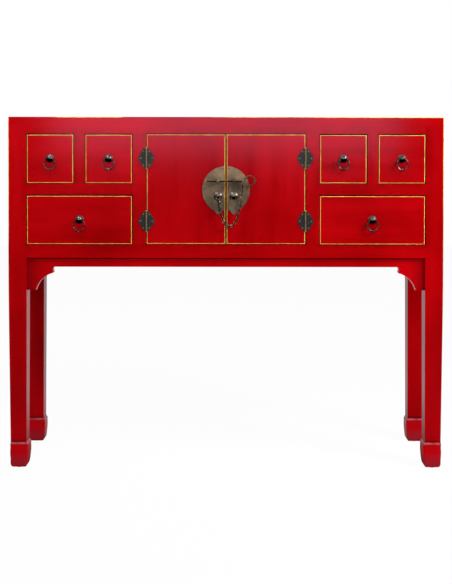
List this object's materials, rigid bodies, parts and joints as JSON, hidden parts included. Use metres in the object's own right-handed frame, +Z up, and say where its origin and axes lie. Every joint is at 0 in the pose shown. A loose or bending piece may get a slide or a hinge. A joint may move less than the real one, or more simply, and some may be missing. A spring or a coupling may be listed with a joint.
{
  "type": "console table",
  "caption": "Narrow red lacquered console table on hoof-footed legs, with drawers either side of a pair of doors closed by a round brass lock, bolt and chain.",
  "frame": {"origin": "on the floor, under the middle of the whole box round the table and its pulls", "axes": "+X along the width to the viewer's right, +Y from the front to the back, +Z up"},
  "size_m": [0.98, 0.277, 0.795],
  "materials": {
    "red_lacquer": "gloss lacquer",
    "raw_wood": "plain",
    "dark_bronze": "dark patina",
    "antique_brass": "antique",
    "brass": "worn bright",
    "glide": "matte"
  },
  "bodies": {
    "frame": {"top_board": "red_lacquer", "leg_front_left": "red_lacquer", "leg_front_right": "red_lacquer", "leg_back_right": "red_lacquer", "leg_back_left": "red_lacquer", "foot_glides": "glide", "top_rail_front": "red_lacquer", "bottom_rail_front": "red_lacquer", "drawer_rails": "red_lacquer", "door_posts": "red_lacquer", "drawer_muntins": "red_lacquer", "side_rails": "red_lacquer", "back_rails": "red_lacquer", "side_panels": "red_lacquer", "back_panel": "red_lacquer", "bottom_board": "raw_wood", "drawer_shelves": "raw_wood", "partitions": "raw_wood", "guides_and_stops": "raw_wood", "apron_front": "red_lacquer", "apron_brackets": "red_lacquer", "hinge_leaves_frame": "dark_bronze", "hinge_pins": "brass"},
    "drawer_upper_left_outer": {"drawer_front_upper_left_outer": "red_lacquer", "drawer_box_upper_left_outer": "raw_wood", "pull_boss_upper_left_outer": "dark_bronze"},
    "ring_upper_left_outer": {"pull_ring_upper_left_outer": "dark_bronze"},
    "drawer_upper_left_inner": {"drawer_front_upper_left_inner": "red_lacquer", "drawer_box_upper_left_inner": "raw_wood", "pull_boss_upper_left_inner": "dark_bronze"},
    "ring_upper_left_inner": {"pull_ring_upper_left_inner": "dark_bronze"},
    "drawer_upper_right_inner": {"drawer_front_upper_right_inner": "red_lacquer", "drawer_box_upper_right_inner": "raw_wood", "pull_boss_upper_right_inner": "dark_bronze"},
    "ring_upper_right_inner": {"pull_ring_upper_right_inner": "dark_bronze"},
    "drawer_upper_right_outer": {"drawer_front_upper_right_outer": "red_lacquer", "drawer_box_upper_right_outer": "raw_wood", "pull_boss_upper_right_outer": "dark_bronze"},
    "ring_upper_right_outer": {"pull_ring_upper_right_outer": "dark_bronze"},
    "drawer_lower_left": {"drawer_front_lower_left": "red_lacquer", "drawer_box_lower_left": "raw_wood", "pull_boss_lower_left": "dark_bronze"},
    "ring_lower_left": {"pull_ring_lower_left": "dark_bronze"},
    "drawer_lower_right": {"drawer_front_lower_right": "red_lacquer", "drawer_box_lower_right": "raw_wood", "pull_boss_lower_right": "dark_bronze"},
    "ring_lower_right": {"pull_ring_lower_right": "dark_bronze"},
    "door_left": {"door_left": "red_lacquer", "hinge_leaves_door_left": "dark_bronze", "lock_plate_left": "antique_brass", "lock_studs_left": "antique_brass", "chain": "antique_brass"},
    "pendant_left": {"pendant_left": "antique_brass"},
    "door_right": {"door_right": "red_lacquer", "hinge_leaves_door_right": "dark_bronze", "lock_plate_right": "antique_brass", "lock_studs_right": "antique_brass"},
    "pendant_right": {"pendant_right": "antique_brass"},
    "bolt": {"bolt": "antique_brass"}
  },
  "joints": [
    {"name": "slide_upper_left_outer", "type": "slide", "parent": "frame", "child": "drawer_upper_left_outer", "axis": [0, -1, 0], "range_m": [0, 0.14]},
    {"name": "swing_upper_left_outer", "type": "hinge", "parent": "drawer_upper_left_outer", "child": "ring_upper_left_outer", "pos_m": [-0.39563, -0.1295, 0.70155], "axis": [-1, 0, 0], "range_deg": [0, 80]},
    {"name": "slide_upper_left_inner", "type": "slide", "parent": "frame", "child": "drawer_upper_left_inner", "axis": [0, -1, 0], "range_m": [0, 0.14]},
    {"name": "swing_upper_left_inner", "type": "hinge", "parent": "drawer_upper_left_inner", "child": "ring_upper_left_inner", "pos_m": [-0.26388, -0.1295, 0.70155], "axis": [-1, 0, 0], "range_deg": [0, 80]},
    {"name": "slide_upper_right_inner", "type": "slide", "parent": "frame", "child": "drawer_upper_right_inner", "axis": [0, -1, 0], "range_m": [0, 0.14]},
    {"name": "swing_upper_right_inner", "type": "hinge", "parent": "drawer_upper_right_inner", "child": "ring_upper_right_inner", "pos_m": [0.26388, -0.1295, 0.70155], "axis": [-1, 0, 0], "range_deg": [0, 80]},
    {"name": "slide_upper_right_outer", "type": "slide", "parent": "frame", "child": "drawer_upper_right_outer", "axis": [0, -1, 0], "range_m": [0, 0.14]},
    {"name": "swing_upper_right_outer", "type": "hinge", "parent": "drawer_upper_right_outer", "child": "ring_upper_right_outer", "pos_m": [0.39563, -0.1295, 0.70155], "axis": [-1, 0, 0], "range_deg": [0, 80]},
    {"name": "slide_lower_left", "type": "slide", "parent": "frame", "child": "drawer_lower_left", "axis": [0, -1, 0], "range_m": [0, 0.14]},
    {"name": "swing_lower_left", "type": "hinge", "parent": "drawer_lower_left", "child": "ring_lower_left", "pos_m": [-0.32975, -0.1295, 0.56405], "axis": [-1, 0, 0], "range_deg": [0, 80]},
    {"name": "slide_lower_right", "type": "slide", "parent": "frame", "child": "drawer_lower_right", "axis": [0, -1, 0], "range_m": [0, 0.14]},
    {"name": "swing_lower_right", "type": "hinge", "parent": "drawer_lower_right", "child": "ring_lower_right", "pos_m": [0.32975, -0.1295, 0.56405], "axis": [-1, 0, 0], "range_deg": [0, 80]},
    {"name": "door_left", "type": "hinge", "parent": "frame", "child": "door_left", "pos_m": [-0.179, -0.1238, 0.631], "axis": [0, 0, -1], "range_deg": [0, 90]},
    {"name": "pendant_left", "type": "hinge", "parent": "door_left", "child": "pendant_left", "pos_m": [-0.0176, -0.1275, 0.6175], "axis": [-1, 0, 0], "range_deg": [0, 45], "deforming": ["chain"]},
    {"name": "door_right", "type": "hinge", "parent": "frame", "child": "door_right", "pos_m": [0.179, -0.1238, 0.631], "axis": [0, 0, 1], "range_deg": [0, 90]},
    {"name": "pendant_right", "type": "hinge", "parent": "door_right", "child": "pendant_right", "pos_m": [0.0176, -0.1275, 0.6175], "axis": [-1, 0, 0], "range_deg": [0, 45]},
    {"name": "bolt_slide", "type": "slide", "parent": "door_left", "child": "bolt", "axis": [1, 0, 0], "range_m": [0, 0.022]}
  ],
  "couplings": [
    {"joint": "door_right", "follows": "door_left", "ratio": 1}
  ]
}
